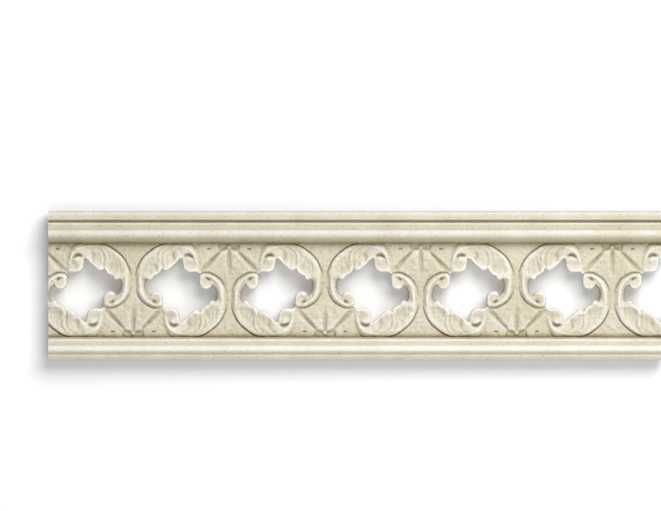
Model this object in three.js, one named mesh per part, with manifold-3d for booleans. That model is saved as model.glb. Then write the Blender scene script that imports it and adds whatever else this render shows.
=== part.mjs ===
// A pierced frieze moulding, one rigid polyurethane casting. Two moulded rails hold an openwork band in which
// pairs of C-scrolls with leaves stand around openings. Between the scroll cells, on lines where the pattern
// is mirrored, a palmette stands at one rail and a plain field at the other, by turns up and down.
//
// Everything is built in the panel's own frame, X along the moulding, Y up and Z out of the wall, and turned
// upright at the end. The origin is on the flat back, at mid height, under a palmette at the lower rail.
import * as THREE from 'three';
import { mergeVertices } from 'three/addons/utils/BufferGeometryUtils.js';
import Module from 'manifold-3d';

const wasm = await Module();
wasm.setup();

// Driving sizes in millimetres. A depth is measured out from the wall.
const length = 620;
const leftOfMount = 278.2;
const cellWidth = 96.5;
const bandHeight = 95.5;
const groundDepth = 9;

// Scrolls
const rimWidth = 7.3;
const rimCrestDepth = 15.5;
const rimShoulderDepth = 12;
const rimFootDepth = 11.6;
const scoopDepth = 11;
const foldDepth = 13.6;
const lipDepth = 15;
const lipEdgeDepth = 12.4;
const notchDepth = 11.5;
const largeBallDepth = 17;
const smallBallDepth = 16;
const ballEdgeDepth = 12.5;

// Palmettes and fields
const leafDepth = 13;
const centreLeafDepth = 13.8;
const beadDepth = 13;
const cornerDepth = 12.2;
const plainFieldDepth = 10.3;

// Rails, from their upper edge down. Each member has its drop, the depth that it reaches and its shape:
// round swells outward, hollow sinks inward, and a member without a shape is straight.
const topRail = {
  startDepth: 15,
  members: [
    { drop: 3.1, depth: 18.5, shape: 'round' },
    { drop: 4.1, depth: 18 },
    { drop: 0.6, depth: 19.2 },
    { drop: 0.7, depth: 18.8 },
    { drop: 1.3, depth: 14 },
    { drop: 1.5, depth: 14 },
    { drop: 1.0, depth: 20.5 },
    { drop: 1.2, depth: 21 },
    { drop: 2.5, depth: 20, shape: 'hollow' },
    { drop: 2.4, depth: 21, shape: 'hollow' },
    { drop: 4.6, depth: 25, shape: 'round' },
    { drop: 6.0, depth: 17, shape: 'round' },
    { drop: 3.0, depth: groundDepth, shape: 'hollow' },
  ],
};
const bottomRail = {
  startDepth: groundDepth,
  members: [
    { drop: 3.5, depth: 19, shape: 'round' },
    { drop: 2.0, depth: 18, shape: 'hollow' },
    { drop: 1.9, depth: 19, shape: 'hollow' },
    { drop: 2.6, depth: 21, shape: 'round' },
    { drop: 5.7, depth: 16.5, shape: 'round' },
    { drop: 1.2, depth: 14.5 },
    { drop: 0.8, depth: 17 },
    { drop: 0.8, depth: 17.2 },
    { drop: 3.0, depth: 16 },
    { drop: 1.0, depth: 14, shape: 'round' },
  ],
};

// Worked-out places
const railHeight = (rail) => rail.members.reduce((sum, member) => sum + member.drop, 0);
const height = railHeight(topRail) + bandHeight + railHeight(bottomRail);
const bandTop = height / 2 - railHeight(topRail);
const bandMiddle = bandTop - bandHeight / 2;
const bandBottom = bandTop - bandHeight;
const leftEnd = -leftOfMount;
const rightEnd = length - leftOfMount;

// The carving is drawn on a grid of its own, in percent of half a cell: u runs from -100 on the cell's left
// mirror line to 100 on its right one, and w from -100 at the lower rail to 100 at the upper one.
const onGrid = ([u, w]) => [(u * cellWidth) / 200, (w * bandHeight) / 200];
const degrees = Math.PI / 180;
const polar = ([u, w], radius, bearing) => [
  u + radius * Math.cos(bearing * degrees),
  w + radius * Math.sin(bearing * degrees),
];
const mix = (a, b, share) => a + (b - a) * share;
const mixPoints = (a, b, share) => [mix(a[0], b[0], share), mix(a[1], b[1], share)];

// Points of an arc, with both of its ends
function arc({ centre, radius, from, to }, count) {
  return Array.from({ length: count }, (_, i) => polar(centre, radius, mix(from, to, i / (count - 1))));
}

// A BufferGeometry from bare vertices and triangles
function meshOf(vertices, triangles) {
  const geometry = new THREE.BufferGeometry();
  geometry.setAttribute('position', new THREE.Float32BufferAttribute(vertices.flat(), 3));
  geometry.setIndex(triangles.flat());
  return geometry;
}

// A closed manifold solid from a geometry, with shared vertices merged
function solid(geometry) {
  const bare = geometry.clone();
  bare.deleteAttribute('normal');
  bare.deleteAttribute('uv');
  const merged = mergeVertices(bare, 1e-5);
  return new wasm.Manifold(new wasm.Mesh({
    numProp: 3,
    vertProperties: new Float32Array(merged.attributes.position.array),
    triVerts: new Uint32Array(merged.index.array),
  }));
}

const join = (solids) => solids.reduce((sum, next) => sum.add(next));

// Every solid runs this far behind the wall's plane, and one cut at the end makes the flat back
const backOverrun = 2;

// A relief strip with a flat back. stations[i][j] is the front point [x, y, depth] in row j of station i.
// The rows run from the outer edge to the inner one, to the left of the way the stations go.
function strip(stations) {
  const rows = stations[0].length;
  const last = stations.length - 1;
  const backStart = stations.length * rows;
  const front = (i, j) => i * rows + j;
  const outerBack = (i) => backStart + 2 * i;
  const innerBack = (i) => backStart + 2 * i + 1;
  const backs = stations.flatMap((row) => [row[0], row[rows - 1]].map(([x, y]) => [x, y, -backOverrun]));
  const triangles = [];
  const quad = (a, b, c, d) => triangles.push([a, b, c], [a, c, d]);
  for (let i = 0; i < last; i += 1) {
    for (let j = 0; j < rows - 1; j += 1) {
      quad(front(i, j), front(i + 1, j), front(i + 1, j + 1), front(i, j + 1));
    }
    quad(outerBack(i), innerBack(i), innerBack(i + 1), outerBack(i + 1));
    quad(front(i, 0), outerBack(i), outerBack(i + 1), front(i + 1, 0));
    quad(front(i + 1, rows - 1), innerBack(i + 1), innerBack(i), front(i, rows - 1));
  }
  for (let j = 0; j < rows - 1; j += 1) {
    triangles.push([front(0, j), front(0, j + 1), innerBack(0)]);
    triangles.push([front(last, j + 1), front(last, j), innerBack(last)]);
  }
  triangles.push([front(0, 0), innerBack(0), outerBack(0)]);
  triangles.push([front(last, 0), outerBack(last), innerBack(last)]);
  return meshOf([...stations.flat(), ...backs], triangles);
}

// A raised form over an outline that runs counter-clockwise around its centre, both in percent of the grid.
// Each layer is the outline drawn in to its share at its depth, and the top closes on the centre.
function mound(centre, outline, layers, topDepth) {
  const count = outline.length;
  const place = (point, depth) => [...onGrid(point), depth];
  const rings = layers.flatMap(([share, depth]) => outline.map((p) => place(mixPoints(centre, p, share), depth)));
  const vertices = [...rings, place(centre, topDepth), place(centre, layers[0][1])];
  const top = rings.length;
  const bottom = top + 1;
  const triangles = [];
  for (let i = 0; i < count; i += 1) {
    const next = (i + 1) % count;
    for (let k = 0; k < layers.length - 1; k += 1) {
      const [low, high] = [k * count, (k + 1) * count];
      triangles.push([low + i, low + next, high + next], [low + i, high + next, high + i]);
    }
    triangles.push([top - count + i, top - count + next, top], [next, i, bottom]);
  }
  return meshOf(vertices, triangles);
}

// Scroll. Its outer edge curls from the small volute under the right end, up the right side, along the upper
// rail and around the large volute. Its inner edge is the crease around the small ball, the opening's edge,
// three leaf lobes and the groove around the large ball.
const smallCurl = { centre: [52.2, -19.5], radius: 17.7 };
const neckCurve = { centre: [51.8, 4.8], radius: 40.6 };
const backCurve = { centre: [21.8, 26.2], radius: 73 };
const largeCurl = { centre: [-1, 59.5], radius: 42.5 };
const smallBall = { centre: [50.3, -13.8], radius: 12.2 };
const largeBall = { centre: [-19.3, 54.5], radius: 16.7 };
const bandEdge = { centre: [54, 7.3], radius: 20.6 };
const groove = { centre: [-18, 58], radius: 17.5 };
const lobes = [
  { centre: [67.4, 30.4], radius: 9.3, from: -60, to: -165 },
  { centre: [50.8, 44], radius: 9.1, from: -100, to: -175 },
  { centre: [31.7, 53], radius: 10.2, from: -40, to: -150 },
];
const lobeStations = 4;
const leafEnd = [3.7, 65.5];

// Front points across the scroll at one station. lobe is 0 in a notch or on plain band and 1 on a lobe's tip,
// and leaf is 1 where the scroll spreads into the leaf.
function scrollRow(outer, inner, leaf, lobe) {
  const a = onGrid(outer);
  const b = onGrid(inner);
  const width = Math.hypot(b[0] - a[0], b[1] - a[1]);
  const rim = Math.min(rimWidth, 0.7 * width) / width;
  const edgeDepth = mix(notchDepth, lipEdgeDepth, lobe);
  const profile = [
    [0, rimShoulderDepth],
    [rim / 2, rimCrestDepth],
    [rim, rimFootDepth],
    [mix(rim, 1, 0.45), mix(rimFootDepth, mix(foldDepth, scoopDepth, lobe), leaf)],
    [mix(rim, 1, 0.85), mix(notchDepth, lipDepth, lobe)],
    [1, edgeDepth],
  ];
  return profile.map(([share, depth]) => [...mixPoints(a, b, share), depth]);
}

function scrollStrip() {
  const stations = [];
  const add = (outers, inners, leaf, lobeAt) => outers.forEach((outer, i) => {
    stations.push(scrollRow(outer, inners[i], leaf, lobeAt(i / (outers.length - 1))));
  });
  const plain = () => 0;
  const tip = (share) => Math.sin(Math.PI * share);
  add(arc({ ...smallCurl, from: 212, to: 285 }, 3), arc({ ...smallBall, radius: 7, from: 190, to: 300 }, 3), 0, plain);
  add(arc({ ...neckCurve, from: -64, to: -12 }, 4), [[64.5, -13.5], ...arc({ ...bandEdge, from: -48, to: 4 }, 3)], 0, plain);
  add(arc({ ...backCurve, from: -9, to: 0 }, 2), arc({ ...bandEdge, from: 18, to: 34 }, 2), 0, plain);
  const leafBearings = { from: 6, to: 70 };
  const leafOuter = arc({ ...backCurve, ...leafBearings }, lobes.length * lobeStations);
  lobes.forEach((lobe, i) => {
    add(leafOuter.slice(i * lobeStations, (i + 1) * lobeStations), arc(lobe, lobeStations), 1, tip);
  });
  add([[14, 99], [-3, 100.5]], [mixPoints(leafEnd, [20, 49], 0.5), leafEnd], 0.5, plain);
  add(arc({ ...largeCurl, from: 106, to: 212 }, 7), arc({ ...groove, from: 35, to: 250 }, 7), 0, plain);
  return strip(stations);
}

function ball({ centre, radius }, topDepth) {
  const sides = 8;
  const outline = arc({ centre, radius, from: 0, to: 360 - 360 / sides }, sides);
  const crown = mix(ballEdgeDepth, topDepth, 0.75);
  return mound(centre, outline, [[1, -backOverrun], [1, ballEdgeDepth], [0.66, crown]], topDepth);
}

// One scroll, and the same turned half round the cell's centre
function cellOrnament() {
  const scroll = join([scrollStrip(), ball(smallBall, smallBallDepth), ball(largeBall, largeBallDepth)].map(solid));
  const geometry = geometryOf(scroll);
  return join([solid(geometry), solid(geometry.clone().rotateZ(Math.PI))]);
}

function geometryOf(manifold) {
  const mesh = manifold.getMesh();
  const geometry = new THREE.BufferGeometry();
  geometry.setAttribute('position', new THREE.BufferAttribute(new Float32Array(mesh.vertProperties), 3));
  geometry.setIndex(new THREE.BufferAttribute(new Uint32Array(mesh.triVerts), 1));
  return geometry;
}

// Mirror image across the YZ plane, with the triangles turned so that they still face outward
function mirrored(geometry) {
  const image = geometry.clone().scale(-1, 1, 1);
  const index = image.index.array;
  for (let i = 0; i < index.length; i += 3) {
    [index[i], index[i + 1]] = [index[i + 1], index[i]];
  }
  return image;
}

// Ornament on a mirror line, drawn with u = 0 on the line and the palmette at the upper rail. Its raised
// forms start under the ground's surface, so that their sloping sides come out of it.
const sunkDepth = groundDepth - 1;
function palmetteHalf() {
  const sideLeaf = [[9, 12], [22, 26], [36, 36], [53, 42], [48, 52], [15, 85], [6, 82], [9, 46]];
  const corner = [[55, 52], [60, 78], [74, 93], [23, 93], [21, 86]];
  return [
    mound([22, 55], sideLeaf, [[1, sunkDepth], [0.78, leafDepth]], leafDepth),
    mound([47, 79], corner, [[1, sunkDepth], [0.78, cornerDepth]], cornerDepth),
  ];
}

function centreLeaf() {
  const outline = [[0, 7], [5, 20], [9.6, 38], [7, 60], [3.5, 83], [-3.5, 83], [-7, 60], [-9.6, 38], [-5, 20]];
  return mound([0, 44], outline, [[1, sunkDepth], [0.55, centreLeafDepth]], centreLeafDepth);
}

function bead() {
  const outline = arc({ centre: [0, 91.5], radius: 3.8, from: 0, to: 300 }, 6);
  return mound([0, 91.5], outline, [[1, sunkDepth], [0.7, beadDepth]], beadDepth);
}

function plainField() {
  const outline = [[0, -42], [8, -60], [21, -80], [34, -91], [-34, -91], [-21, -80], [-8, -60]].reverse();
  return mound([0, -74], outline, [[1, sunkDepth], [0.86, plainFieldDepth]], plainFieldDepth);
}

function lineOrnament() {
  const halves = palmetteHalf();
  return [...halves, ...halves.map(mirrored), centreLeaf(), bead(), plainField()];
}

// Half of the hole in the ground. It is hidden under the scrolls and shows only in the notches between them.
const hiddenHole = [
  smallBall.centre, [69, -17], [80, -3], [82, 14], [76, 30], [59, 42], [42, 55], [28, 59], [3, 72], [-4, 67],
  largeBall.centre, [-38, 37],
];

// The ground between the rails, let into both of them
const railOverlap = 6;
function ground(cells) {
  const shape = new THREE.Shape([
    new THREE.Vector2(leftEnd - cellWidth, bandBottom - railOverlap),
    new THREE.Vector2(rightEnd + cellWidth, bandBottom - railOverlap),
    new THREE.Vector2(rightEnd + cellWidth, bandTop + railOverlap),
    new THREE.Vector2(leftEnd - cellWidth, bandTop + railOverlap),
  ]);
  const halfTurned = hiddenHole.map(([u, w]) => [-u, -w]);
  const hole = [...hiddenHole, ...halfTurned].map(onGrid);
  cells.forEach(({ middle, facing }) => {
    shape.holes.push(new THREE.Path(hole.map(([x, y]) => new THREE.Vector2(middle + facing * x, bandMiddle + y))));
  });
  return new THREE.ExtrudeGeometry(shape, { depth: groundDepth + backOverrun, bevelEnabled: false })
    .translate(0, 0, -backOverrun);
}

// Quarter curves of a rail's members, with straight members as two points
const curveSteps = 3;
function railOutline({ startDepth, members }, top) {
  const points = [[-backOverrun, top], [startDepth, top]];
  let [depth, y] = [startDepth, top];
  members.forEach((member) => {
    const steps = member.shape ? curveSteps : 1;
    for (let i = 1; i <= steps; i += 1) {
      const turn = (i / steps) * 90 * degrees;
      const risesFirst = (member.shape === 'round') === (member.depth > depth);
      const quick = member.shape ? Math.sin(turn) : i / steps;
      const slow = member.shape ? 1 - Math.cos(turn) : i / steps;
      const [across, down] = risesFirst ? [quick, slow] : [slow, quick];
      points.push([mix(depth, member.depth, across), y - member.drop * down]);
    }
    [depth, y] = [member.depth, y - member.drop];
  });
  return [...points, [-backOverrun, y]];
}

function railSolid(rail, top) {
  const outline = railOutline(rail, top).map(([depth, y]) => new THREE.Vector2(-depth, y));
  const overrun = 10;
  return new THREE.ExtrudeGeometry(new THREE.Shape(outline), { depth: length + 2 * overrun, bevelEnabled: false })
    .rotateY(Math.PI / 2)
    .translate(leftEnd - overrun, 0, 0);
}

function wholeMoulding() {
  const firstCell = Math.floor(leftEnd / cellWidth);
  const lastCell = Math.ceil(rightEnd / cellWidth) - 1;
  const cells = [];
  for (let i = firstCell; i <= lastCell; i += 1) {
    cells.push({ middle: (i + 0.5) * cellWidth, facing: i % 2 === 0 ? -1 : 1 });
  }
  const parts = [railSolid(topRail, height / 2), railSolid(bottomRail, bandBottom), ground(cells)];
  const cell = geometryOf(cellOrnament());
  cells.forEach(({ middle, facing }) => {
    parts.push((facing > 0 ? cell.clone() : mirrored(cell)).translate(middle, bandMiddle, 0));
  });
  for (let i = firstCell; i <= lastCell + 1; i += 1) {
    const palmetteBelow = i % 2 === 0;
    lineOrnament().forEach((geometry) => {
      const turned = palmetteBelow ? geometry.rotateZ(Math.PI) : geometry;
      parts.push(turned.translate(i * cellWidth, bandMiddle, 0));
    });
  }
  const reach = 2 * height;
  const squareCut = new THREE.BoxGeometry(length, reach, reach).translate(leftEnd + length / 2, 0, reach / 2);
  return join(parts.map(solid)).intersect(solid(squareCut));
}

const geometry = geometryOf(wholeMoulding());
geometry.computeVertexNormals();
const polyurethane = new THREE.MeshStandardMaterial({ color: 0xe6dfca, roughness: 0.7, metalness: 0 });
const moulding = new THREE.Mesh(geometry, polyurethane);
moulding.name = 'pierced_moulding';
moulding.rotation.x = Math.PI / 2;

const model = new THREE.Group();
model.add(moulding);

export default model;
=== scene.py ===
# %% [markdown]
# # A pierced polyurethane moulding
# A frieze like this is cast: two liquids are poured into a soft mould, foam up against its walls and set
# with a dense skin. The length is then sprayed, glazed by hand and cut square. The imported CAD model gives
# its size and place, and this script gives its looks: one carved mesh for the casting, its cream paint
# with brown glaze, its raw back and its sawn ends. The carving is a relief: at every spot of the front it
# is a single number, how far the surface stands out from the wall. So the whole front can be worked out
# as arrays, and the script builds it from the drawing up.

import math

import bmesh
import bpy
import numpy as np
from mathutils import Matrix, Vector


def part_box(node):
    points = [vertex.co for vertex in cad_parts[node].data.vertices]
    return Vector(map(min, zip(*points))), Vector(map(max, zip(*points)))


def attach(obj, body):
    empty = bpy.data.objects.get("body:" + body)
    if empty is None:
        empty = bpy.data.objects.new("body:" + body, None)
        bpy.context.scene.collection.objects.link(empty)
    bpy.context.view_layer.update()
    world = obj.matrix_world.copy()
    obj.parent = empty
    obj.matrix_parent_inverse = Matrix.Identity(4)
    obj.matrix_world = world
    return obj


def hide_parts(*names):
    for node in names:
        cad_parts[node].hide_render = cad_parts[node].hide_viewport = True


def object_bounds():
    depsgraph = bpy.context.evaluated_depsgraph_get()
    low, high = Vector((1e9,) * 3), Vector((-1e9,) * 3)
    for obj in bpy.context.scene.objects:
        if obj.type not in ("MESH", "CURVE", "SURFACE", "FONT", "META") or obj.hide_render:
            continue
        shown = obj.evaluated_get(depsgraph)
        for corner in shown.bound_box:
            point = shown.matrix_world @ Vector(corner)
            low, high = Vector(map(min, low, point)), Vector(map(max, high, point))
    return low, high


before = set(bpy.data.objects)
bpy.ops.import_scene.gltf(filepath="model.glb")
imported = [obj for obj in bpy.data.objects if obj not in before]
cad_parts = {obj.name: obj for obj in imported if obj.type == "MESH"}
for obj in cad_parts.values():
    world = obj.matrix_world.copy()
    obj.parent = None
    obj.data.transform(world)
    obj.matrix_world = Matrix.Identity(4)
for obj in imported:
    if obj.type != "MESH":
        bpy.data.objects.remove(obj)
cad_low, cad_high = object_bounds()
low, high = (np.array(corner) * 1000 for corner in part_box("pierced_moulding"))
print("the moulding's box in mm:", low.round(1), high.round(1))

# %% [markdown]
# Lengths are in millimetres until the mesh is made. The ends, the height and the wall come from the
# frame. The pattern's pitch and the band's height can't be read from a box, so they are repeated here by
# name.

# %% Main sizes
left_end, right_end = low[0], high[0]
bottom, top = low[2], high[2]
cell_width = 96.5
band_height = 95.5
rail_foot = 12.3
top_rail_height = 32.0
band_top = top - top_rail_height
band_bottom = band_top - band_height
band_middle = band_top - band_height / 2
half_cell, half_band = cell_width / 2, band_height / 2
print("the band runs from", band_bottom.round(2), "to", band_top.round(2), "mm")

# %% [markdown]
# ## Drawing tools
# A carver draws long curves along a bent batten. Here the batten is a curve through a few points, which
# leaves each point along the line that joins its two neighbours. A path's rows may carry more columns
# than its place, such as a width or a depth, and those run as smoothly as it does.


# %% Batten
def batten(points, steps=6):
    """Curve through points: between b and c, with a before and d after, it is half of
    2b + (c - a) t + (2a - 5b + 4c - d) t^2 + (3b - a - 3c + d) t^3."""
    points = np.array(points, float)
    ends = 2 * points[[0, -1]] - points[[1, -2]]
    line = np.vstack([ends[:1], points, ends[1:]])
    a, b, c, d = line[:-3], line[1:-2], line[2:-1], line[3:]
    t = np.linspace(0, 1, steps, endpoint=False)[:, None, None]
    curve = (2 * b + (c - a) * t + (2 * a - 5 * b + 4 * c - d) * t**2 + (3 * b - a - 3 * c + d) * t**3) / 2
    return np.vstack([curve.transpose(1, 0, 2).reshape(-1, points.shape[1]), points[-1:]])


def half_turned(path):
    """The path turned half round the cell's centre, other columns kept."""
    turned = np.array(path, float)
    turned[:, :2] *= -1
    return turned


# %% Distance to a path
block_size = 20000
tiny = 1e-12


def blocks(ids):
    """The ids in runs, so that a table of spots times rows stays small enough for the memory."""
    return np.array_split(ids, 1 + len(ids) // block_size)


def nearest(spots, path, reach=None):
    """For each spot, the distance to the path and the path's row there. The nearest point of a straight step
    is start + s (end - start), with s the spot's projection on it, kept from 0 to 1. Spots farther than reach
    keep an infinite distance."""
    gap = np.full(len(spots), np.inf)
    row = np.tile(path[0], (len(spots), 1))
    near = np.ones(len(spots), bool)
    if reach is not None:
        lowest, highest = path[:, :2].min(0) - reach, path[:, :2].max(0) + reach
        near = ((spots > lowest) & (spots < highest)).all(1)
    for block in blocks(np.flatnonzero(near)):
        start, step = path[:-1, :2], np.diff(path[:, :2], axis=0)
        off = spots[block, None] - start
        share = ((off * step).sum(2) / np.maximum((step**2).sum(1), tiny)).clip(0, 1)
        distance = np.linalg.norm(off - share[..., None] * step, axis=2)
        best = distance.argmin(1)
        rows = np.arange(len(block))
        along = share[rows, best][:, None]
        gap[block] = distance[rows, best]
        row[block] = path[best] * (1 - along) + path[best + 1] * along
    return gap, row


def within(spots, outline):
    """True inside a closed outline: a ray to the right crosses it an odd number of times."""
    inside = np.zeros(len(spots), bool)
    for block in blocks(np.arange(len(spots))):
        u, w = spots[block, 0, None], spots[block, 1, None]
        (u0, w0), (u1, w1) = outline.T, np.roll(outline, -1, axis=0).T
        rise = np.where(w1 == w0, tiny, w1 - w0)
        crossing = ((w0 > w) != (w1 > w)) & (u < u0 + (w - w0) * (u1 - u0) / rise)
        inside[block] = crossing.sum(1) % 2 == 1
    return inside


def depth_within(spots, outline):
    """Signed distance to a closed outline, above 0 inside it, and the nearest point on it."""
    closed = np.vstack([outline, outline[:1]])
    gap, row = nearest(spots, closed)
    return np.where(within(spots, outline), gap, -gap), row[:, :2]


# %% Smooth steps
def ease(share):
    """0 below 0, 1 above 1 and 3s^2 - 2s^3 between."""
    s = np.clip(share, 0, 1)
    return s * s * (3 - 2 * s)


def swell(share):
    """Quarter circle: 0 at 0 with an upright start, 1 at 1 with a level end."""
    return np.sqrt(1 - (1 - np.clip(share, 0, 1)) ** 2)


def melt(a, b, width=1.2):
    """The higher of two surfaces, with a fillet: max(a, b) + h^2 width / 4, where h = 1 - |a - b| / width,
    kept above 0."""
    h = np.clip(1 - np.abs(a - b) / width, 0, None)
    return np.maximum(a, b) + h * h * width / 4


# %% [markdown]
# ## The scroll's outline
# Each cell holds two scrolls, the second one being the first turned half round the cell's centre. u runs
# along the moulding and w up, from that centre. The outer edge curls from the small volute's tip, up the
# back and along the rail to the large volute's lip. Its rows also hold how strongly the carver has cut
# along it, from 0 to 1. The inner edge is also the opening's: volute, four leaf lobes, band.

# %% Outer and inner edge
cut_line = batten([
    (18.0, -13.8, 0.6), (19.3, -16.2, 0.9), (22.0, -17.6, 1.0), (25.4, -17.9, 1.0), (29.0, -17.4, 1.0),
    (33.0, -15.5, 1.0), (37.0, -12.9, 1.0), (40.4, -9.7, 0.9), (43.0, -5.5, 0.75), (44.9, -1.0, 0.5),
    (45.5, 4.0, 0.25), (46.0, 9.5, 0.15), (45.8, 15.0, 0.3), (44.8, 20.0, 0.7), (42.8, 25.0, 0.95),
    (40.2, 30.0, 1.0), (36.4, 34.8, 1.0), (30.8, 39.6, 1.0), (22.8, 44.8, 0.8), (14.6, 47.0, 0.35),
    (6.8, 47.6, 0.2), (-1.4, 47.8, 0.2), (-7.0, 47.6, 0.2), (-11.0, 45.9, 0.3), (-14.4, 42.0, 0.25),
    (-16.4, 38.0, 0.2), (-18.0, 33.5, 0.15), (-18.9, 28.5, 0.15), (-19.2, 23.5, 0.1), (-18.8, 20.2, 0.1),
    (-17.8, 17.6, 0.4),
], 5)
outer_edge = cut_line[:, :2]
inner_runs = {
    "large volute": [(-17.8, 17.6), (-15.2, 18.5), (-11.5, 18.2), (-7.2, 18.3), (-3.8, 20.2), (-2.0, 23.8),
                     (-1.4, 28.0), (-1.0, 32.0)],
    "lobe beside the volute": [(-1.0, 32.0), (1.8, 31.1), (5.2, 27.6), (8.3, 24.4), (11.2, 21.9)],
    "third lobe": [(11.2, 21.9), (13.0, 20.4), (15.4, 19.9), (17.8, 20.5), (19.6, 21.8)],
    "second lobe": [(19.6, 21.8), (20.4, 19.6), (21.9, 17.5), (24.0, 15.9), (26.0, 15.0), (27.6, 14.3)],
    "first lobe": [(27.6, 14.3), (28.3, 12.3), (30.0, 10.8), (32.4, 10.0), (34.9, 10.8)],
    "band": [(34.9, 10.8), (35.7, 8.0), (36.0, 4.3), (35.3, 0.6), (33.8, -2.6), (31.7, -5.2)],
    "small volute": [(31.7, -5.2), (30.0, -3.0), (27.2, -1.3), (24.0, -1.0), (20.9, -2.3), (19.0, -5.0),
                     (18.5, -8.6), (18.6, -11.4), (18.0, -13.8)],
    "gap to the other scroll": [(18.0, -13.8), (19.3, -15.4), (17.8, -17.6)],
}
inner_edge = np.vstack([batten(run)[:-1] for run in inner_runs.values()])
opening = np.vstack([inner_edge, half_turned(inner_edge)])
scrolls = np.vstack([outer_edge, half_turned(outer_edge)])
print("edge points:", len(outer_edge), "outside,", len(inner_edge), "inside")

# %% [markdown]
# ## Carving the scroll
# A carver who copies a model measures its depth at some dozens of points, drills down to each and works
# the surface smooth between them. The script does the same: a row (u, w, depth) for each point, with
# depths measured out from the wall. Then the rounded rims are laid along lines and the creases and
# hollows are cut. A rim's rows hold a half width and the crest's depth, a crease's rows how deep it is
# cut and its half width, and a hollow's rows its floor and its half width.

# %% Measured points
scroll_points = [
    (24.5, -3.4, 15.4), (28.4, -4.2, 14.8), (20.8, -6.0, 14.4), (24.0, -8.0, 13.4), (28.6, -8.0, 12.8),
    (20.2, -11.0, 13.6), (32.6, -6.4, 13.0), (36.2, -1.0, 11.2), (37.0, 4.0, 10.2), (37.2, 8.8, 10.0),
    (44.6, 4.0, 12.2), (44.4, 14.0, 12.2), (42.6, 22.0, 12.6), (26.0, -15.5, 12.6),
    (38.0, 14.5, 14.4), (39.4, 12.0, 14.4), (35.6, 12.6, 14.8), (38.0, 7.0, 10.4), (35.4, 20.0, 13.0),
    (38.4, 26.0, 13.6), (35.4, 32.0, 13.8), (30.6, 37.0, 13.8),
    (24.8, 41.2, 13.7), (17.0, 44.2, 13.2), (31.8, 25.0, 12.0), (30.4, 19.0, 12.4), (32.6, 13.6, 15.8),
    (28.4, 15.2, 15.2), (25.4, 22.6, 11.4), (27.2, 29.0, 12.6), (23.4, 18.6, 15.0), (21.0, 20.4, 15.4),
    (20.8, 26.6, 13.6), (21.4, 32.0, 13.8), (20.0, 38.0, 13.4), (26.0, 35.0, 13.2), (16.6, 22.4, 15.9),
    (12.4, 23.0, 15.7), (14.4, 28.0, 13.0), (13.8, 34.0, 12.8), (12.0, 40.0, 13.2), (8.4, 34.0, 11.6),
    (6.4, 31.0, 11.8), (9.4, 25.4, 15.2), (5.0, 29.0, 15.2), (1.6, 32.4, 15.0), (3.6, 37.0, 13.4),
    (-0.4, 37.0, 14.6), (5.0, 42.5, 13.4),
    (-3.4, 38.4, 14.8), (-8.0, 39.4, 14.8), (-13.0, 36.6, 14.6), (-15.8, 31.0, 13.6), (-15.6, 26.0, 13.4),
    (-8.6, 30.8, 16.4), (-5.0, 30.6, 15.0), (-3.0, 26.6, 12.8), (-8.4, 26.8, 13.2), (-12.6, 27.6, 12.2),
    (-13.0, 23.4, 13.8), (-15.4, 20.4, 15.2), (-11.0, 20.2, 15.8), (-6.4, 20.8, 15.6), (-3.6, 23.0, 14.8),
    (-2.2, 33.2, 12.0),
]
print("measured points of a scroll:", len(scroll_points))

# %% Lines to carve along
rims = [
    [(20.6, -12.4, 2.4, 13.8), (23.0, -14.4, 2.8, 14.4), (27.0, -14.6, 3.0, 14.8), (31.6, -12.4, 3.6, 15.0),
     (36.2, -8.6, 4.8, 14.6), (39.4, -3.4, 5.4, 14.6), (41.0, 3.0, 5.4, 14.3), (41.6, 10.0, 5.2, 14.2),
     (41.2, 17.0, 4.6, 14.0), (40.0, 22.0, 4.0, 13.5), (38.0, 27.0, 3.2, 12.6)],
    [(14.0, 44.6, 2.4, 13.2), (8.0, 45.0, 3.0, 14.0), (1.0, 44.2, 3.6, 15.2), (-6.0, 42.0, 4.8, 15.5),
     (-11.6, 38.4, 5.0, 15.5), (-14.8, 33.0, 4.6, 15.2), (-16.2, 27.0, 3.4, 14.6)],
]
hollows = [
    [(-3.0, 33.8, 12.6, 1.6), (-4.8, 35.0, 10.6, 2.6), (-7.4, 35.4, 9.8, 3.0), (-10.2, 34.2, 10.6, 2.8),
     (-12.0, 32.2, 12.6, 2.0)],
    [(28.8, -9.6, 12.2, 1.5), (27.4, -11.2, 10.2, 2.0), (25.2, -12.2, 11.6, 1.8)],
]
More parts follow.
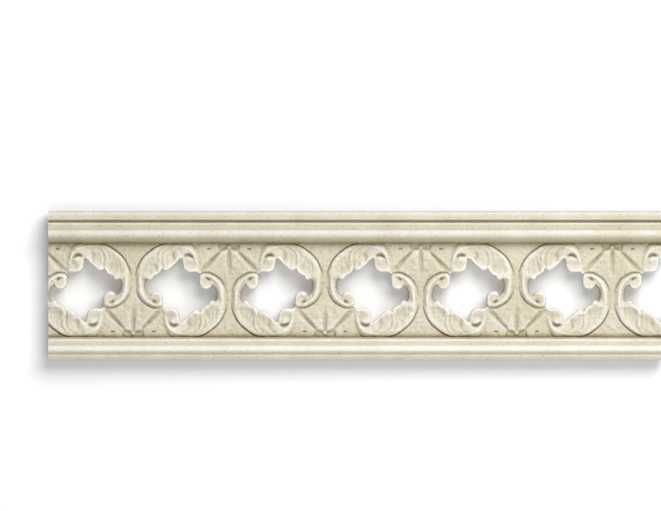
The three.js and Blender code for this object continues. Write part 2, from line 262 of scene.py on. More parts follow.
creases = [
    [(18.8, 21.8, 1.4, 2.2), (18.8, 25.0, 1.5, 2.5), (19.0, 29.0, 1.3, 2.5), (19.0, 33.4, 1.3, 2.5),
     (17.2, 38.4, 1.2, 2.4), (13.0, 42.0, 1.0, 2.1), (7.4, 44.8, 0.5, 1.8)],
    [(23.2, 28.4, 0.8, 2.0), (24.4, 32.6, 1.1, 2.2), (23.4, 37.0, 1.1, 2.1), (20.6, 41.0, 0.8, 1.9),
     (16.8, 44.4, 0.4, 1.5)],
    [(9.6, 26.6, 0.6, 1.8), (7.2, 30.8, 1.2, 3.0), (8.2, 35.4, 1.3, 3.0), (5.8, 40.4, 0.9, 2.4),
     (1.8, 43.0, 0.3, 1.8)],
    [(36.4, 16.8, 0.7, 1.4), (36.0, 20.0, 0.9, 1.4), (35.2, 26.0, 0.7, 1.4), (33.6, 31.0, 0.4, 1.2)],
    [(24.6, 18.2, 0.48, 2.8), (25.4, 22.6, 0.72, 3.5), (27.0, 28.0, 0.48, 3.0), (28.6, 33.4, 0.24, 2.2)],
    [(20.8, 26.4, 0.9, 1.2), (20.9, 27.9, 0.9, 1.2)],
    [(31.0, 17.5, 0.30, 1.8), (31.4, 24.0, 0.30, 1.8), (30.6, 31.0, 0.24, 1.8), (27.6, 36.6, 0.12, 1.5)],
    [(14.4, 25.5, 0.30, 1.6), (14.6, 31.0, 0.36, 1.9), (13.4, 37.0, 0.30, 1.8), (9.6, 41.6, 0.12, 1.5)],
]
ridges = [
    [(21.4, 28.6, 0.5, 1.3), (21.8, 34.0, 0.5, 1.3), (19.6, 39.4, 0.4, 1.2)],
    [(37.2, 14.6, 0.8, 1.2), (37.4, 17.0, 0.4, 1.2)],
]
edge_round = 2.0
crease_share = 0.95
print("rims, hollows, creases and ridges:", len(rims), len(hollows), len(creases), len(ridges))


# %% Carving moves
def pointed(spots, points, spread=2.6):
    """Smooth surface over measured points: their mean depth, weighted by exp(-d^2 / 2 spread^2). The nearest
    point's square distance is taken off all of them first, so that the weights never all vanish."""
    points = np.array(points, float)
    height = np.empty(len(spots))
    for block in blocks(np.arange(len(spots))):
        square = ((spots[block, None] - points[:, :2]) ** 2).sum(2)
        weight = np.exp((square.min(1)[:, None] - square) / (2 * spread**2))
        height[block] = (weight * points[:, 2]).sum(1) / weight.sum(1)
    return height


def bar(spots, path, foot):
    """Rounded bar along a path: foot + (crest - foot) ease(1 - distance / half width), and 0 beside it."""
    gap, row = nearest(spots, path, reach=path[:, 2].max())
    inside = 1 - gap / row[:, 2]
    return np.where(inside > 0, foot + (row[:, 3] - foot) * ease(inside), 0)


def raise_along(height, spots, path, sign=1):
    """Adds sign * amount * (1 - distance / half width)^2 along a path. The square gives a crease its sharp
    bottom and its soft shoulders."""
    gap, row = nearest(spots, path, reach=path[:, 3].max())
    return height + sign * row[:, 2] * np.clip(1 - gap / row[:, 3], 0, 1) ** 2


def hollow_along(height, spots, path):
    """Sinks the surface to the path's floor: floor + (height - floor) ease(distance / half width)."""
    gap, row = nearest(spots, path, reach=path[:, 3].max())
    floor = np.minimum(row[:, 2], height)
    return floor + (height - floor) * ease(gap / row[:, 3])


# %% The scroll's surface
rim_foot = 11.0
rim_fillet = 1.5


def scroll_relief(spots):
    """Depth of one scroll's surface: points, rims, creases, ridges and hollows. It is rounded down at the
    opening by a quarter circle of radius edge_round."""
    height = pointed(spots, scroll_points)
    for path in rims:
        height = melt(height, bar(spots, batten(path), rim_foot), rim_fillet)
    for path in creases:
        height = raise_along(height, spots, batten(path), -crease_share)
    for path in ridges:
        height = raise_along(height, spots, batten(path))
    for path in hollows:
        height = hollow_along(height, spots, batten(path))
    inner_gap, _ = nearest(spots, inner_edge)
    return height - edge_round * (1 - swell(inner_gap / edge_round))


# %% [markdown]
# ## Palmette and plain field
# On each line where the pattern is mirrored stands a palmette, at one rail, and a plain field, at the
# other. Places here are the distance from that line and the height w. The palmette has a sunk centre, a
# side leaf, a slanting groove, a corner field and a bead at its root. Broad valleys are laid first, then
# the small cuts that the gouge has left in the fields.

# %% Points and cuts of the fields
palmette_points = [
    (0, 38, 12.6), (0, 32, 12.6), (0, 26, 12.8), (0, 20, 12.8), (0, 14, 13.0), (0, 8, 12.4), (0, 3, 11.6),
    (4.8, 37.2, 14.2), (5.0, 31.0, 13.9), (5.2, 25.0, 13.7), (9.4, 33.0, 13.8), (9.6, 26.5, 13.0),
    (12.4, 22.4, 13.3), (15.2, 26.6, 13.1), (19.4, 23.2, 13.2), (7.4, 19.6, 12.8), (4.6, 14.0, 12.2),
    (2.8, 8.0, 11.6), (12.6, 43.6, 12.8), (15.6, 38.8, 12.9), (20.6, 45.0, 12.4), (22.0, 36.0, 12.9),
    (26.4, 30.4, 12.9), (27.4, 41.4, 12.6), (33.6, 45.2, 11.8), (29.6, 35.0, 12.7), (3.2, 46.0, 10.8),
    (7.4, 46.0, 10.8), (0, 47.2, 10.4),
]
palmette_valleys = [
    [(8.0, 40.2, 1.2, 2.0), (12.0, 35.6, 2.4, 2.8), (15.4, 32.2, 2.8, 3.2), (20.4, 27.1, 3.0, 3.8),
     (24.2, 23.2, 2.6, 3.8), (28.0, 19.6, 1.6, 3.4)],
    [(0.0, 40.0, 1.7, 2.4), (0.0, 33.0, 2.0, 3.2), (0.0, 26.0, 1.8, 3.4), (0.0, 19.0, 1.2, 3.6),
     (0.0, 12.0, 0.3, 3.0)],
    [(3.6, 42.0, 1.8, 2.6), (6.6, 41.4, 2.0, 2.6)],
    [(9.4, 41.0, 1.2, 1.9), (9.5, 43.6, 1.4, 1.9), (10.2, 46.0, 0.8, 1.8)],
]
palmette_cuts = [
    [(8.6, 39.6, 0.4, 0.9), (12.0, 36.0, 0.7, 1.1), (15.4, 32.6, 0.7, 1.1), (20.4, 27.4, 0.5, 1.1)],
    [(1.6, 38.0, 0.5, 1.0), (1.6, 32.0, 0.6, 1.1), (2.4, 26.0, 0.6, 1.2), (3.8, 21.4, 0.6, 1.2),
     (6.4, 18.6, 0.4, 1.1)],
    [(19.2, 41.7, 3.0, 1.4), (21.8, 41.6, 2.6, 1.4)],
    [(3.4, 32.4, 0.7, 0.9), (6.0, 34.6, 0.6, 0.9)],
    [(24.8, 32.6, 0.9, 1.0), (25.0, 33.6, 0.9, 1.0)],
    [(30.4, 38.8, 0.9, 0.9), (32.0, 37.6, 0.8, 0.9)],
    [(23.2, 21.2, 1.0, 1.1), (23.8, 21.8, 0.9, 1.1)],
    [(7.0, 26.0, 0.4, 1.8), (9.6, 29.0, 0.4, 1.8)],
]
plain_points = [
    (0, 16, 11.2), (0, 24, 11.6), (3, 30, 11.8), (0, 36, 11.9), (7, 38, 11.9), (0, 43, 11.6), (9, 42, 11.8),
    (18, 44, 11.6), (0, 47.4, 11.8), (10, 47.4, 11.8), (20, 47.4, 11.4),
]
plain_cuts = [
    [(4.6, 37.2, 0.9, 1.2), (5.4, 39.8, 0.6, 1.2)], [(10.6, 39.6, 0.6, 1.0), (12.0, 40.6, 0.6, 1.0)],
]
bead_place, bead_radius, bead_crest, bead_fillet = (0.0, 43.2), 1.9, 12.6, 0.4
print("points of the palmette and of the plain field:", len(palmette_points), len(plain_points))


# %% The fields' surface
def field_relief(spots, points, cuts, valleys=()):
    """Depth of a field's surface: its points, less depth * ease(1 - distance / half width) in the valleys,
    less the cuts. Spots hold the distance from the mirror line and the height."""
    height = pointed(spots, points)
    for path in valleys:
        line = batten(path)
        gap, row = nearest(spots, line, reach=line[:, 3].max())
        height = height - row[:, 2] * ease(1 - gap / row[:, 3])
    for path in cuts:
        height = raise_along(height, spots, np.array(path, float), -1)
    return height


def palmette_relief(spots):
    """The palmette's field with its bead, crest - gap^2 / 2 radius."""
    gap = np.hypot(*(spots - bead_place).T)
    bead = np.where(gap < bead_radius, bead_crest - gap**2 / (2 * bead_radius), 0)
    return melt(field_relief(spots, palmette_points, palmette_cuts, palmette_valleys), bead, bead_fillet)


# %% [markdown]
# ## The whole band
# Folding brings every spot of the band into one cell: even cells are mirrored, and where the first scroll
# doesn't lie the spot is turned half round. A narrow cut follows the scrolls' outer edge, where the
# carver set them free from the ground. It is deep under the small volute and along the back, where the
# scroll's side rises upright from it, and dies out on the sides and at the rails, where the scroll rises
# softly. The hand leaves the surface slightly uneven. Long and short waves in many directions stand for
# that.

# %% Fold and relief
cut_depth = 2.4
cut_width = 2.0
rim_roll = 2.2
soft_roll = 4.4
crisp_strength = 0.6
rail_roll = 0.9
field_blend = 2.0
divide = math.radians(-41)
unevenness = 0.2
waves = np.random.default_rng(7)
wave_count = 40
shortest_wave, longest_wave = 2.4, 11.0
wave_turn = waves.uniform(0, math.pi, wave_count)
wave_length = waves.uniform(shortest_wave, longest_wave, wave_count)
wave_start = waves.uniform(0, 2 * math.pi, wave_count)
print("waves in the surface:", wave_count, "from", shortest_wave, "to", longest_wave, "mm")


def uneven(x, z):
    """Sum of waves sin(2 pi (x cos t + z sin t) / length + start), scaled to the unevenness."""
    total = sum(
        np.sin(2 * math.pi * (x * math.cos(t) + z * math.sin(t)) / length + start)
        for t, length, start in zip(wave_turn, wave_length, wave_start)
    )
    return unevenness * total / math.sqrt(wave_count / 2)


def fold(x, z):
    """Places (u, w) in the cell that a spot lies in, mirrored in even cells."""
    cell = np.floor(x / cell_width)
    facing = np.where(cell % 2 == 0, -1, 1)
    return np.stack([(x - (cell + 0.5) * cell_width) * facing, z - band_middle], axis=1), cell, facing


def unfold(spots, cell, facing):
    """The way back from fold."""
    return spots[:, 0] * facing + (cell + 0.5) * cell_width, spots[:, 1] + band_middle


def band_relief(spots):
    """Depth of the band's surface at folded spots. The line through the cell's centre at the bearing divide
    parts its two scrolls. At their outer edge both sides run down to a floor that lies cut_depth * strength
    under the lower one of the two."""
    first_scroll = spots[:, 1] * math.cos(divide) > spots[:, 0] * math.sin(divide)
    own = np.where(first_scroll[:, None], spots, -spots)
    edge, _ = depth_within(spots, scrolls)
    _, cut = nearest(own, cut_line)
    carved = scroll_relief(own)
    beside = np.where(spots[:, :1] < 0, spots, -spots) + np.array([half_cell, 0])
    palmette = palmette_relief(beside)
    plain = field_relief(beside * np.array([1, -1]), plain_points, plain_cuts)
    blend = ease(beside[:, 1] / field_blend + 0.5)
    field = palmette * blend + plain * (1 - blend)
    floor = np.minimum(field, carved) - cut_depth * cut[:, 2]
    outside = field + (floor - field) * np.clip(1 + edge / cut_width, 0, 1) ** 2
    crispness = ease(cut[:, 2] / crisp_strength)
    rise = swell(edge / rim_roll) * crispness + ease(edge / soft_roll) * (1 - crispness)
    inside = floor + (carved - floor) * rise
    height = np.where(edge > 0, inside, outside)
    return rail_foot + (height - rail_foot) * ease((half_band - np.abs(spots[:, 1])) / rail_roll)


# %% [markdown]
# ## Rails
# A rail is run, not carved: one profile along the whole length. Each member has its drop, the depth that
# it reaches and its shape. Round swells outward and hollow sinks inward, both as quarter ellipses, bowed
# swells outward as a parabola, and a member without a shape is straight. Rows stand close to each arris,
# so that it shades as a slightly soft edge.

# %% Profiles
top_rail = [
    (3.1, 18.5, "round"), (4.1, 18, ""), (0.6, 19.2, ""), (0.7, 18.8, ""), (1.4, 14.9, ""), (1.3, 14.9, ""),
    (1.1, 20.5, ""), (1.2, 21, ""), (2.5, 20, "hollow"), (2.4, 21, "hollow"), (4.6, 25, "round"),
    (8.6, 18.0, "bowed"), (0.4, rail_foot, ""),
]
bottom_rail = [
    (0.5, 12.4, ""), (3.0, 19, "round"), (2.0, 18.4, "hollow"), (1.9, 19, "hollow"), (2.6, 21, "round"),
    (1.6, 21, ""), (4.1, 18.2, "bowed"), (1.2, 17.3, ""), (0.8, 17.8, ""), (0.8, 17.8, ""), (3.0, 16, ""),
    (1.0, 14, "round"),
]
top_rail_start = 15.0
curved_shares, straight_shares = np.array([0.2, 0.4, 0.6, 0.8, 1.0]), np.array([0.08, 0.92, 1.0])


def rail_profile(members, start_depth, top_edge):
    """Rows (z, depth) from the rail's top edge down. At share s of a member the quick way is sin(90 s), the
    slow one 1 - cos(90 s), and s and s^2 for a bowed one. A member that rises round, or falls hollow, goes
    quickly across and slowly down."""
    rows = [(top_edge, start_depth)]
    for drop, depth, shape in members:
        z, start = rows[-1]
        share = curved_shares if shape else straight_shares
        turn = np.radians(share * 90)
        other_ways = {"": (share, share), "bowed": (share, share**2)}
        quick, slow = other_ways.get(shape, (np.sin(turn), 1 - np.cos(turn)))
        across, down = (quick, slow) if (shape == "hollow") != (depth > start) else (slow, quick)
        rows += list(zip(z - drop * down, start + (depth - start) * across))
    return np.array(rows)


top_rows = rail_profile(top_rail, top_rail_start, top)
bottom_rows = rail_profile(bottom_rail, rail_foot, band_bottom)
print("rail rows:", len(top_rows), "above and", len(bottom_rows), "below")

# %% [markdown]
# ## The front as a net
# The band is a net of small squares. Nodes close to the openings' edge or to the scrolls' outer edge are
# moved onto it, so that both lines run cleanly through the net. The squares inside an opening are then
# left out. The rails need few columns, since nothing changes along them, so their net is eight times
# coarser lengthwise, and a row of fans joins the two. A second relief on the unmoved net, without the
# uneven hand, serves the glaze.

# %% Net of the band
columns, rows_in_band, coarser = 792, 123, 8
x_lines = np.linspace(left_end, right_end, columns + 1)
z_lines = np.linspace(band_bottom, band_top, rows_in_band + 1)
pitch = x_lines[1] - x_lines[0]
x_net, z_net = (net.ravel() for net in np.meshgrid(x_lines, z_lines))
net_ids = np.arange(x_net.size).reshape(rows_in_band + 1, columns + 1)
on_end = (np.isclose(x_net, left_end) | np.isclose(x_net, right_end))
on_rail = (np.isclose(z_net, band_bottom) | np.isclose(z_net, band_top))
spots, cell, facing = fold(x_net, z_net)
to_opening, opening_point = depth_within(spots, opening)
to_opening = -to_opening
to_scroll, scroll_point = depth_within(spots, scrolls)
at_opening = np.abs(to_opening) < pitch / 2
at_scroll = (np.abs(to_scroll) < pitch / 2) & ~at_opening & ~on_rail
spots = np.where(at_opening[:, None], opening_point, spots)
spots = np.where(at_scroll[:, None], scroll_point, spots)
side = np.where(at_opening, 0, np.sign(to_opening))
x_moved, z_moved = unfold(spots, cell, facing)
x_net = np.where(on_end, x_net, x_moved)
z_net = np.where(on_rail, z_net, z_moved)
spots, _, _ = fold(x_net, z_net)
unmoved, _, _ = fold(*(net.ravel() for net in np.meshgrid(x_lines, z_lines)))
even_map = band_relief(unmoved)
depth_net = np.where(on_rail, rail_foot, band_relief(spots) + uneven(x_net, z_net))
print("net of", x_net.size, "nodes,", int(at_opening.sum()), "moved onto the openings' edge")


# %% Faces of the front
def squares(ids):
    """Corner ids of each square, counter-clockwise from in front, for rows that run upwards."""
    return np.stack([ids[:-1, :-1], ids[:-1, 1:], ids[1:, 1:], ids[1:, :-1]], axis=-1).reshape(-1, 4)


def fans(fine, coarse, fine_below):
    """Triangles between a fine row and a coarse one: each fine step reaches to its nearer coarse node, and
    one more triangle closes each coarse step at its middle."""
    step = np.arange(len(fine) - 1)
    home = step // coarser + (step % coarser >= coarser // 2)
    small = np.stack([fine[:-1], fine[1:], coarse[home]], axis=1)
    middle = fine[coarser // 2 :: coarser][: len(coarse) - 1]
    large = np.stack([coarse[1:], coarse[:-1], middle], axis=1)
    made = np.vstack([small, large])
    return made if fine_below else made[:, ::-1]


band_squares = squares(net_ids)
sides = side[band_squares]
whole = (sides >= 0).all(1) & (sides > 0).any(1)
cut = (sides < 0).sum(1) == 1
far = np.take_along_axis(sides, ((sides.argmin(1) + 2) % 4)[:, None], 1)[:, 0]
cut &= far > 0
order = (sides[cut].argmin(1)[:, None] + np.array([1, 2, 3])) % 4
quads = [band_squares[whole]]
triangles = [np.take_along_axis(band_squares[cut], order, 1)]

places = [np.stack([x_net, z_net, depth_net], axis=1)]
coarse_x = x_lines[::coarser]


def add_rail(profile, joint, below):
    """A rail's net from the rows of its profile that run upwards, without the row it shares with the band."""
    start = sum(len(part) for part in places)
    ids = start + np.arange(len(profile) * len(coarse_x)).reshape(len(profile), -1)
    x = np.tile(coarse_x, len(profile))
    places.append(np.stack([x, *np.repeat(profile, len(coarse_x), axis=0).T], axis=1))
    quads.append(squares(ids))
    triangles.append(fans(joint, ids[-1] if below else ids[0], fine_below=not below))


add_rail(top_rows[::-1][1:], net_ids[-1], below=False)
add_rail(bottom_rows[::-1][:-1], net_ids[0], below=True)
places, quads, triangles = np.vstack(places), np.vstack(quads), np.vstack(triangles)
print("front:", len(quads), "squares and", len(triangles), "triangles")

# %% [markdown]
# ## Where the glaze stays
# The casting is sprayed cream, then brown glaze is brushed on and wiped off. It stays where the cloth
# can't reach. That is a place lower than its surroundings, so the measure is the softened relief less the
# relief itself: above 0 in a recess and below 0 on a crest. Two widths of softening find thin grooves and
# broad hollows. The measures are kept on the mesh, as attributes, for the paint to read.

# %% Recess measure
thin_reach, broad_reach = 1.1, 4.0
thinnest_solid = 0.05
just_inside = 0.001
map_rows = int(round((top - bottom) / pitch)) + 1
margin = int(3 * broad_reach / pitch) + 2
map_z = np.linspace(bottom, top, map_rows)
rail_z = np.concatenate([bottom_rows[::-1, 0], top_rows[::-1, 0]])
rail_depth = np.concatenate([bottom_rows[::-1, 1], top_rows[::-1, 1]])
band_map = even_map.reshape(net_ids.shape)
solid_map = (side >= 0).reshape(net_ids.shape).astype(float)


def across_rows(table, z_from):
    """A table's rows moved to the map's heights, linear between rows."""
    place = np.interp(map_z, z_from, np.arange(len(z_from)))
    lower = np.minimum(place.astype(int), len(z_from) - 2)
    share = (place - lower)[:, None]
    return table[lower] * (1 - share) + table[lower + 1] * share


def soften(table, reach):
    """Weighted mean of the surroundings, exp(-d^2 / 2 reach^2), along one axis and then along the other. It
    runs round the table's ends, which is why the maps have a margin."""
    offsets = np.arange(-int(3 * reach) - 1, int(3 * reach) + 2)
    weights = np.exp(-(offsets**2) / (2 * reach**2))
    for axis in (0, 1):
        table = sum(weight * np.roll(table, k, axis) for k, weight in zip(offsets, weights)) / weights.sum()
    return table


in_band = ((map_z >= band_bottom) & (map_z <= band_top))[:, None]
profile_map = np.interp(map_z, rail_z, rail_depth)[:, None] * np.ones(columns + 1)
depth_map = np.where(in_band, across_rows(band_map, z_lines), profile_map)
solid = np.where(in_band, across_rows(solid_map, z_lines), 1)
depth_map = np.pad(depth_map, margin, mode="edge")
solid = np.pad(solid, ((margin, margin), (margin, margin)), mode="edge")


def recess(reach_mm):
    """Softened relief less the relief, in mm, over solid ground only."""
    reach = reach_mm / pitch
    mean = soften(depth_map * solid, reach) / np.maximum(soften(solid, reach), thinnest_solid)
    return (mean - depth_map)[margin:-margin, margin:-margin]


def on_mesh(table):
    """A map's value at every node of the front, linear between its cells."""
    row = np.clip((places[:, 1] - bottom) / (top - bottom) * (map_rows - 1), 0, map_rows - 1 - just_inside)
    column = np.clip((places[:, 0] - left_end) / pitch, 0, columns - just_inside)
    r, c = row.astype(int), column.astype(int)
    fr, fc = row - r, column - c
    lower = table[r, c] * (1 - fc) + table[r, c + 1] * fc
    upper = table[r + 1, c] * (1 - fc) + table[r + 1, c + 1] * fc
    return lower * (1 - fr) + upper * fr


# %% [markdown]
# Two things go on top of the measures. Glaze gathers where the brush stops, above the bottom rail and under
# the top rail's crest, where the same term is painted shade on the underside that faces down. In the corner
# below that crest the paint is made lighter, painted light against the rail's shadow. The cloth takes more
# glaze off the openings' edges and, slightly, off the scrolls as a whole. The bottom rail's crest is made
# lighter, wiped glaze and a painted highlight on its top, which faces up, and the line below the top rail
# is made lighter too, painted light where the rail's shadow falls. The inner sides of the scrolls' bands get
# painted shade, and the ground keeps more glaze. Each pair is an amount in mm of recess and the width in mm
# over which it fades or grows. Limits keep single grooves from turning black, and on the rails, whose
# grooves are wiped along their length, the thin measure counts by half.

# %% Glaze gathered and wiped, painted shade and painted light
# The first pair is glaze and painted shade under the top rail's crest, the second painted light in the shaded
# corner below it.
glaze_and_painted_shade_under_crest, painted_light_in_rail_corner, over_bottom_rail = (6.4, 10), (3.2, 3), (4.4, 7)
# The second pair of this line is painted shade on the inner sides of the scrolls' bands.
opening_edge, painted_shade_on_band_sides = (1.1, 4.0), (0.7, 5)
# The last pair of this line is painted light on the band's head, where the top rail's shadow falls.
scroll_wipe, ground_glaze, painted_light_below_top_rail = (0.05, 2), (0.2, 1.5), (0.9, 3)
# The first pair wipes glaze and paints a highlight on the bottom rail's crest, which faces up.
wiped_glaze_and_painted_highlight_on_rail_crest, crest_drop = (0.8, 4.5), 11.0
side_clearance, edge_clearance = 4, 2
thin_limits, broad_limits, rail_share = (-1.5, 1.6), (-3.0, 2.0), 0.5


def fading(amount, distance):
    """amount * ease(1 - distance / width): full at distance 0 and gone at the width."""
    size, width = amount
    return size * ease(1 - distance / width)


def growing(amount, distance):
    """amount * ease(distance / width): nothing at distance 0 and full at the width."""
    size, width = amount
    return size * ease(distance / width)


z = places[:, 1]
on_top_rail, in_the_band = z > band_top, (z > band_bottom) & (z <= band_top)
# Glaze and painted shade under the crest, less the painted light in the shaded corner.
glaze_and_painted_light_shade_under_rail = fading(glaze_and_painted_shade_under_crest, z - band_top) - fading(painted_light_in_rail_corner, z - band_top)
gathered_glaze_and_painted_light_shade = np.where(on_top_rail, glaze_and_painted_light_shade_under_rail, 0)
gathered_glaze_and_painted_light_shade += np.where(in_the_band, fading(over_bottom_rail, z - band_bottom), 0)
band_side = batten(inner_runs["band"])
from_side = np.minimum(nearest(spots, band_side)[0], nearest(-spots, band_side)[0])
wiped_and_painted_light_shade = np.zeros(len(places))
wiped_and_painted_light_shade[: x_net.size] = fading(opening_edge, to_opening) * ease(from_side / side_clearance)
# Painted shade on the inner sides of the bands, through a negative wipe.
wiped_and_painted_light_shade[: x_net.size] += growing(scroll_wipe, to_scroll) - fading(painted_shade_on_band_sides, from_side)
wiped_and_painted_light_shade[: x_net.size] -= growing(ground_glaze, -to_scroll) * ease(to_opening / edge_clearance)
# Wiped glaze and a painted highlight along the bottom rail's crest.
wiped_and_painted_light_shade += np.where(z < band_bottom, fading(wiped_glaze_and_painted_highlight_on_rail_crest, np.abs(z - band_bottom + crest_drop)), 0)
# Painted light on the band's head below the top rail, where its shadow falls.
wiped_and_painted_light_shade += np.where(in_the_band, fading(painted_light_below_top_rail, band_top - z), 0)
# Both measures carry painted light and painted shade as well as the glaze.
thin_recess_and_painted_light_shade = on_mesh(recess(thin_reach)).clip(*thin_limits) * np.where(in_the_band, 1, rail_share) - wiped_and_painted_light_shade
broad_recess_and_painted_light_shade = on_mesh(recess(broad_reach)).clip(*broad_limits) + gathered_glaze_and_painted_light_shade
print("recess measures in mm:", thin_recess_and_painted_light_shade.min().round(2), thin_recess_and_painted_light_shade.max().round(2),
      broad_recess_and_painted_light_shade.min().round(2), broad_recess_and_painted_light_shade.max().round(2))

# %% [markdown]
# ## Closing the casting
# Every edge that only one face of the front uses is either an opening's edge or the outside edge. From
# each one a wall runs straight back to the wall's plane. The edges left there are filled as one flat
# back.

# %% Walls and mesh
corner_pairs = np.vstack(
    [quads[:, [i, (i + 1) % 4]] for i in range(4)] + [triangles[:, [i, (i + 1) % 3]] for i in range(3)]
)
painted_kind, back_kind, sawn_kind = 0, 1, 2
count = len(places)
forward = corner_pairs[:, 0] * count + corner_pairs[:, 1]
backward = corner_pairs[:, 1] * count + corner_pairs[:, 0]
rim = corner_pairs[~np.isin(forward, backward)]
rim_nodes = np.unique(rim)
back_id = np.full(count, -1)
back_id[rim_nodes] = count + np.arange(len(rim_nodes))
walls = np.stack([rim[:, 1], rim[:, 0], back_id[rim[:, 0]], back_id[rim[:, 1]]], axis=1)
back_places = places[rim_nodes] * np.array([1, 1, 0])
vertices = np.vstack([places, back_places])[:, [0, 2, 1]] * np.array([1, -1, 1]) / 1000
at_end = np.isclose(places[rim, 0], left_end).all(1) | np.isclose(places[rim, 0], right_end).all(1)

used = np.zeros(len(vertices), bool)
for faces in (quads, triangles, walls):
    used[faces.ravel()] = True
new_id = np.cumsum(used) - 1
faces = [*new_id[quads].tolist(), *new_id[triangles].tolist(), *new_id[walls].tolist()]
mesh = bpy.data.meshes.new("moulding_casting")
mesh.from_pydata(vertices[used].tolist(), [], faces)
kinds = np.full(len(faces), painted_kind, np.int32)
kinds[len(quads) + len(triangles) :][at_end] = sawn_kind
mesh.polygons.foreach_set("material_index", kinds)

bm = bmesh.new()
bm.from_mesh(mesh)
open_edges = [edge for edge in bm.edges if len(edge.link_faces) == 1]
filled = bmesh.ops.triangle_fill(bm, edges=open_edges, normal=(0, 1, 0), use_beauty=True)
back_faces = [item for item in filled["geom"] if isinstance(item, bmesh.types.BMFace)]
for face in back_faces:
    face.material_index = back_kind
still_open = sum(len(edge.link_faces) != 2 for edge in bm.edges)
print("back faces:", len(back_faces), "and edges still open:", still_open)
print("volume in cm3:", round(bm.calc_volume() * 1e6, 1))
bm.to_mesh(mesh)
bm.free()

# %% Attributes and shading
back_recess = 0.2
sharpest_smooth = math.radians(50)
for name, values in (("thin_recess_and_painted_light_shade", thin_recess_and_painted_light_shade), ("broad_recess_and_painted_light_shade", broad_recess_and_painted_light_shade)):
    attribute = mesh.attributes.new(name, "FLOAT", "POINT")
    all_values = np.concatenate([values, np.full(len(back_places), back_recess)])[used]
    attribute.data.foreach_set("value", all_values.astype(np.float32))
mesh.shade_smooth()
mesh.set_sharp_from_angle(angle=sharpest_smooth)
moulding = bpy.data.objects.new("moulding_casting", mesh)
bpy.context.scene.collection.objects.link(moulding)
triangle_count = sum(len(polygon.vertices) - 2 for polygon in mesh.polygons)
print("triangles in the casting:", triangle_count)

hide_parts("pierced_moulding")
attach(moulding, "root")


# %% [markdown]
# ## Paint
# The cream paint is a matt water-based one, sprayed over the primer. The glaze is a thinned umber. A
# colour ramp turns the recess measures into paint: near white on crests, cream on flats, tan and umber
# where glaze is left, and the painted shade and painted light that the measures also carry. The hand is
# never even, so cloudy patches and grains vary it. Burst bubbles leave pin holes that hold glaze. The
# paint's place on the ramp is a weighted sum of all these.

# %% Node helper and colours
def linear(hex_colour):
    """sRGB hex to linear: c / 12.92 below 0.04045, else ((c + 0.055) / 1.055)^2.4."""
    parts = [int(hex_colour[i : i + 2], 16) / 255 for i in (0, 2, 4)]
    return [*(c / 12.92 if c <= 0.04045 else ((c + 0.055) / 1.055) ** 2.4 for c in parts), 1.0]


def add_node(material, kind, inputs=None, **settings):
    """Adds a node, sets its settings, and sets or links its inputs."""
    tree = material.node_tree
    node = tree.nodes.new(kind)
    for name, value in settings.items():
        setattr(node, name, value)
    for name, value in (inputs or {}).items():
        if isinstance(value, bpy.types.NodeSocket):
            tree.links.new(value, node.inputs[name])
        else:
            node.inputs[name].default_value = value
    return node


def new_material(name):
    """A material with a Principled BSDF and Object coordinates."""
    material = bpy.data.materials.new(name)
    material.use_nodes = True
    shader = material.node_tree.nodes["Principled BSDF"]
    place = add_node(material, "ShaderNodeTexCoord").outputs["Object"]
    return material, shader, place


def ramp(node, stops):
    """Sets a colour ramp's stops from (position, hex)."""
    elements = node.color_ramp.elements
    while len(elements) > 1:
        elements.remove(elements[-1])
    elements[0].position, elements[0].color = stops[0][0], linear(stops[0][1])
    for position, colour in stops[1:]:
        elements.new(position).color = linear(colour)


# %% Painted and glazed face
paint, shader, place = new_material("cream_paint_umber_glaze_painted_light_shade")
thin = add_node(paint, "ShaderNodeAttribute", attribute_name="thin_recess_and_painted_light_shade").outputs["Fac"]
broad = add_node(paint, "ShaderNodeAttribute", attribute_name="broad_recess_and_painted_light_shade").outputs["Fac"]
# Scales are per metre. Patches are 36 mm, as wide as a stroke of the cloth. Grains and pin holes of half a
# millimetre are too fine to show, so grains are drawn 2.4 mm wide and pin holes 1.1 mm, one in 4 mm.
patch_scale, grain_scale, pin_scale, pin_share = 28.0, 420.0, 250.0, 0.14
noise = {"Vector": place, "Roughness": 0.6}
cloudy = add_node(paint, "ShaderNodeTexNoise", {**noise, "Scale": patch_scale, "Detail": 4.0}).outputs["Fac"]
grainy = add_node(paint, "ShaderNodeTexNoise", {**noise, "Scale": grain_scale, "Detail": 3.0}).outputs["Fac"]
bubbles = add_node(paint, "ShaderNodeTexVoronoi", {"Vector": place, "Scale": pin_scale}).outputs["Distance"]
pin_hole = add_node(paint, "ShaderNodeMath", {0: bubbles, 1: pin_share}, operation="LESS_THAN").outputs[0]
# The ramp's place sums glaze, painted shade and painted light with the patches, grains and pin holes.
glaze_and_painted_light_shade = 0.01
for measure, weight in ((thin, 0.26), (broad, 0.085), (cloudy, 0.36), (grainy, 0.3), (pin_hole, 0.4)):
    term = {0: measure, 1: weight, 2: glaze_and_painted_light_shade}
    glaze_and_painted_light_shade = add_node(paint, "ShaderNodeMath", term, operation="MULTIPLY_ADD").outputs[0]
colours = add_node(paint, "ShaderNodeValToRGB", {"Fac": glaze_and_painted_light_shade})
ramp(colours, [
    (0.0, "E9E6DC"), (0.2, "D8D2C4"), (0.38, "C9C1AA"), (0.58, "BBB195"), (0.8, "9E906D"), (1.0, "7A6A46"),
])
bump = add_node(paint, "ShaderNodeBump", {"Height": grainy, "Strength": 0.25, "Distance": 0.0003})
paint.node_tree.links.new(colours.outputs["Color"], shader.inputs["Base Color"])
paint.node_tree.links.new(bump.outputs["Normal"], shader.inputs["Normal"])
shader.inputs["Roughness"].default_value = 0.6
shader.inputs["IOR"].default_value = 1.46
print("nodes in the paint:", len(paint.node_tree.nodes))

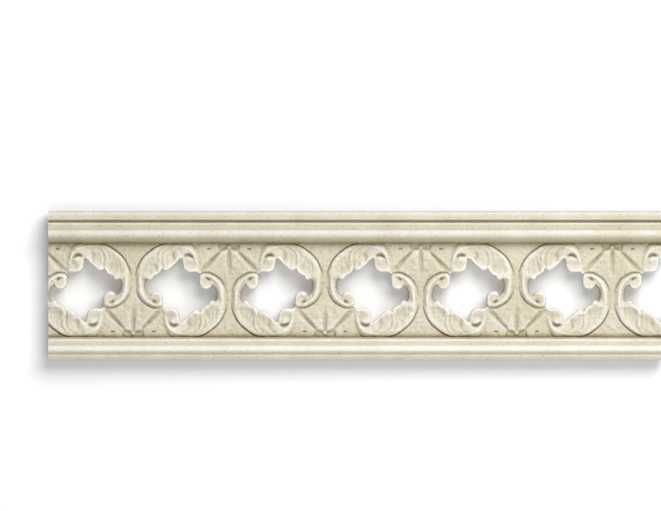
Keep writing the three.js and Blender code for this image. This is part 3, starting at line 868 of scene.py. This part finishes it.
# %% [markdown]
# The back keeps the plain skin that forms against the mould's lid, slightly uneven in colour. The sawn
# ends show the foam's small cells.

# %% Raw back and sawn ends
# Scales are per metre. The skin's patches are 17 mm wide. The foam's cells of 0.3 mm are too fine to show, so
# they are drawn 1.1 mm wide.
skin_scale, foam_scale = 60.0, 900.0
raw, shader, place = new_material("moulded_polyurethane_back")
skin = add_node(raw, "ShaderNodeTexNoise", {"Vector": place, "Scale": skin_scale, "Detail": 5.0})
raw_colours = add_node(raw, "ShaderNodeValToRGB", {"Fac": skin.outputs["Fac"]})
ramp(raw_colours, [(0.3, "DDD5BF"), (0.7, "E9E3D2")])
raw.node_tree.links.new(raw_colours.outputs["Color"], shader.inputs["Base Color"])
shader.inputs["Roughness"].default_value = 0.7

sawn, shader, place = new_material("sawn_polyurethane_foam")
cells = add_node(sawn, "ShaderNodeTexVoronoi", {"Vector": place, "Scale": foam_scale})
sawn_colours = add_node(sawn, "ShaderNodeValToRGB", {"Fac": cells.outputs["Distance"]})
ramp(sawn_colours, [(0.0, "D8CBA4"), (0.5, "EDE4C8")])
sawn.node_tree.links.new(sawn_colours.outputs["Color"], shader.inputs["Base Color"])
shader.inputs["Roughness"].default_value = 0.85
for material in (paint, raw, sawn):
    mesh.materials.append(material)
print("materials:", [material.name for material in mesh.materials])

# %% [markdown]
# ## Stage
# The moulding hangs just in front of a white wall, which takes its soft shadow. The wall shows on its
# front side only, and it neither shades nor lights the moulding's back, so that can be looked at as well.
# A pale floor lies below.

# %% Wall and floor
wall_gap, wall_side, wall_top = 0.008, 2, 1.5
floor_side, floor_level = 4, -0.45


def sheet(name, corners, material):
    """A flat stage piece from its four corners, in metres."""
    made = bpy.data.meshes.new(name)
    made.from_pydata(corners, [], [(0, 1, 2, 3)])
    made.materials.append(material)
    thing = bpy.data.objects.new(name, made)
    bpy.context.scene.collection.objects.link(thing)
    return thing


white, shader, _ = new_material("white_wall_paint")
shader.inputs["Base Color"].default_value = linear("FBFBFB")
shader.inputs["Roughness"].default_value = 0.9
facing_away = add_node(white, "ShaderNodeNewGeometry").outputs["Backfacing"]
clear = add_node(white, "ShaderNodeBsdfTransparent")
output = white.node_tree.nodes["Material Output"]
seen = add_node(white, "ShaderNodeMixShader", {0: facing_away, 1: shader.outputs[0], 2: clear.outputs[0]})
white.node_tree.links.new(seen.outputs[0], output.inputs["Surface"])
wall = sheet("wall", [
    (-wall_side, wall_gap, floor_level), (wall_side, wall_gap, floor_level),
    (wall_side, wall_gap, wall_top), (-wall_side, wall_gap, wall_top),
], white)
wall.visible_shadow = False
wall.visible_diffuse = False
pale, shader, _ = new_material("pale_floor")
shader.inputs["Base Color"].default_value = linear("EFEFEC")
shader.inputs["Roughness"].default_value = 0.8
sheet("floor", [
    (-floor_side, -floor_side, floor_level), (floor_side, -floor_side, floor_level),
    (floor_side, floor_side, floor_level), (-floor_side, floor_side, floor_level),
], pale)
print("wall", wall_gap * 1000, "mm behind the moulding, floor at", floor_level * 1000, "mm")

# %% [markdown]
# ## Light
# A large soft box up to the right draws the relief and throws the shadow down to the left. A weak one low
# in front opens the undersides and leaves a faint shadow above. A cool even sky fills the rest.

# %% Light
world = bpy.data.worlds.new("studio")
bpy.context.scene.world = world
world.use_nodes = True
sky = world.node_tree.nodes["Background"]
sky.inputs["Color"].default_value = linear("F3F6FF")
sky.inputs["Strength"].default_value = 0.31


def soft_box(name, place, target, size, power):
    """A rectangular area light that faces the target. Sizes in metres, power in watts."""
    light = bpy.data.lights.new(name, "AREA")
    light.shape = "RECTANGLE"
    light.size, light.size_y = size
    light.energy = power
    lamp = bpy.data.objects.new(name, light)
    lamp.location = place
    lamp.rotation_euler = (Vector(target) - Vector(place)).to_track_quat("-Z", "Y").to_euler()
    bpy.context.scene.collection.objects.link(lamp)


middle = (cad_low + cad_high) / 2
soft_box("key light", (0.85, -2.1, 1.55), middle, size=(2.0, 2.0), power=75)
soft_box("fill light", (0.25, -1.3, -0.4), middle, size=(1.2, 0.1), power=1.2)

# %% [markdown]
# ## Camera
# The photograph looks straight at the relief from far off: the cut end is a straight line, whatever the
# depth. One pixel of it is 1.0067 mm, and its centre lies 5.85 mm right of the mount and 30.3 mm above
# it.

# %% Camera
picture_width = 661
mm_per_pixel = 1.0067
centre_x, centre_z = 0.00585, 0.0303
distance = 8.0
relief_plane = -0.015
sensor_width = 36
camera_data = bpy.data.cameras.new("camera")
camera_data.sensor_width = sensor_width
camera_data.lens = sensor_width * distance / (picture_width * mm_per_pixel / 1000)
camera = bpy.data.objects.new("camera", camera_data)
camera.location = (centre_x, relief_plane - distance, centre_z)
camera.rotation_euler = (math.radians(90), 0, 0)
bpy.context.scene.collection.objects.link(camera)
bpy.context.scene.camera = camera
bpy.context.scene.view_settings.view_transform = "Standard"
print("lens:", round(camera_data.lens), "mm at", distance, "m")
